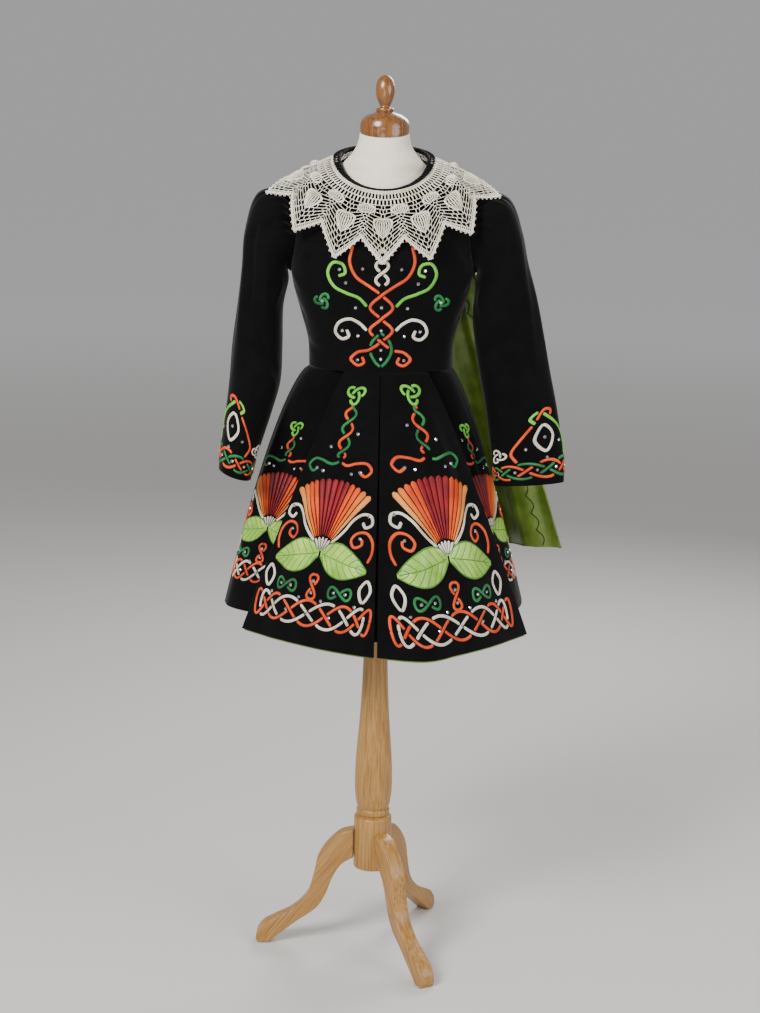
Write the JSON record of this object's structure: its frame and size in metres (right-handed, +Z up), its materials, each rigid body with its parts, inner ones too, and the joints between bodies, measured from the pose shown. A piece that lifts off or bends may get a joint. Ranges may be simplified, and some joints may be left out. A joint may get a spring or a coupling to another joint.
{
  "type": "irish dance dress on dress form",
  "caption": "Velvet dance dress with crochet lace collar, long sleeves, pleated A-line skirt and back shawl, on a dress form with a turned wooden tripod stand.",
  "frame": {"origin": "on the floor, below the middle of the whole outline seen from above", "axes": "+Z up, -Y the wearer's front, +X the wearer's left; the pole's axis stands at x = -0.0269 m, y = -0.0013 m"},
  "size_m": [0.5757, 0.4612, 1.444],
  "materials": {
    "black_velvet": "cotton velvet, short nap",
    "black_binding": "bias-cut satin roll",
    "black_zip": "black enamel",
    "green_satin": "polyester satin",
    "lime_satin": "padded polyester satin applique",
    "crimson_stitch": "rayon satin stitch over batting",
    "cream_crochet": "mercerised cotton crochet",
    "cream_jersey": "cotton jersey",
    "oiled_wood": "lacquered, golden brown",
    "beech": "satin lacquer"
  },
  "bodies": {
    "root": {"bodice_front": "black_velvet", "bodice_back_right": "black_velvet", "bodice_back_left": "black_velvet", "neck_binding": "black_binding", "zip_pull": "black_zip", "sleeve_right": "black_velvet", "sleeve_left": "black_velvet", "skirt_front_right": "black_velvet", "skirt_front_left": "black_velvet", "skirt_side_right": "black_velvet", "skirt_side_left": "black_velvet", "skirt_back_right": "black_velvet", "skirt_back_left": "black_velvet", "hem_lining_right": "green_satin", "hem_lining_left": "green_satin", "fan_front_right": "crimson_stitch", "leaf_inner_front_right": "lime_satin", "leaf_outer_front_right": "lime_satin", "fan_side_right": "crimson_stitch", "leaf_inner_side_right": "lime_satin", "leaf_outer_side_right": "lime_satin", "fan_front_left": "crimson_stitch", "leaf_inner_front_left": "lime_satin", "leaf_outer_front_left": "lime_satin", "fan_side_left": "crimson_stitch", "leaf_inner_side_left": "lime_satin", "leaf_outer_side_left": "lime_satin", "lace_collar": "cream_crochet", "shawl": "black_velvet", "shawl_lining": "green_satin", "form_torso": "cream_jersey", "neck_cap": "oiled_wood", "finial": "oiled_wood", "pole": "beech", "leg_1": "beech", "leg_2": "beech", "leg_3": "beech"}
  },
  "joints": []
}
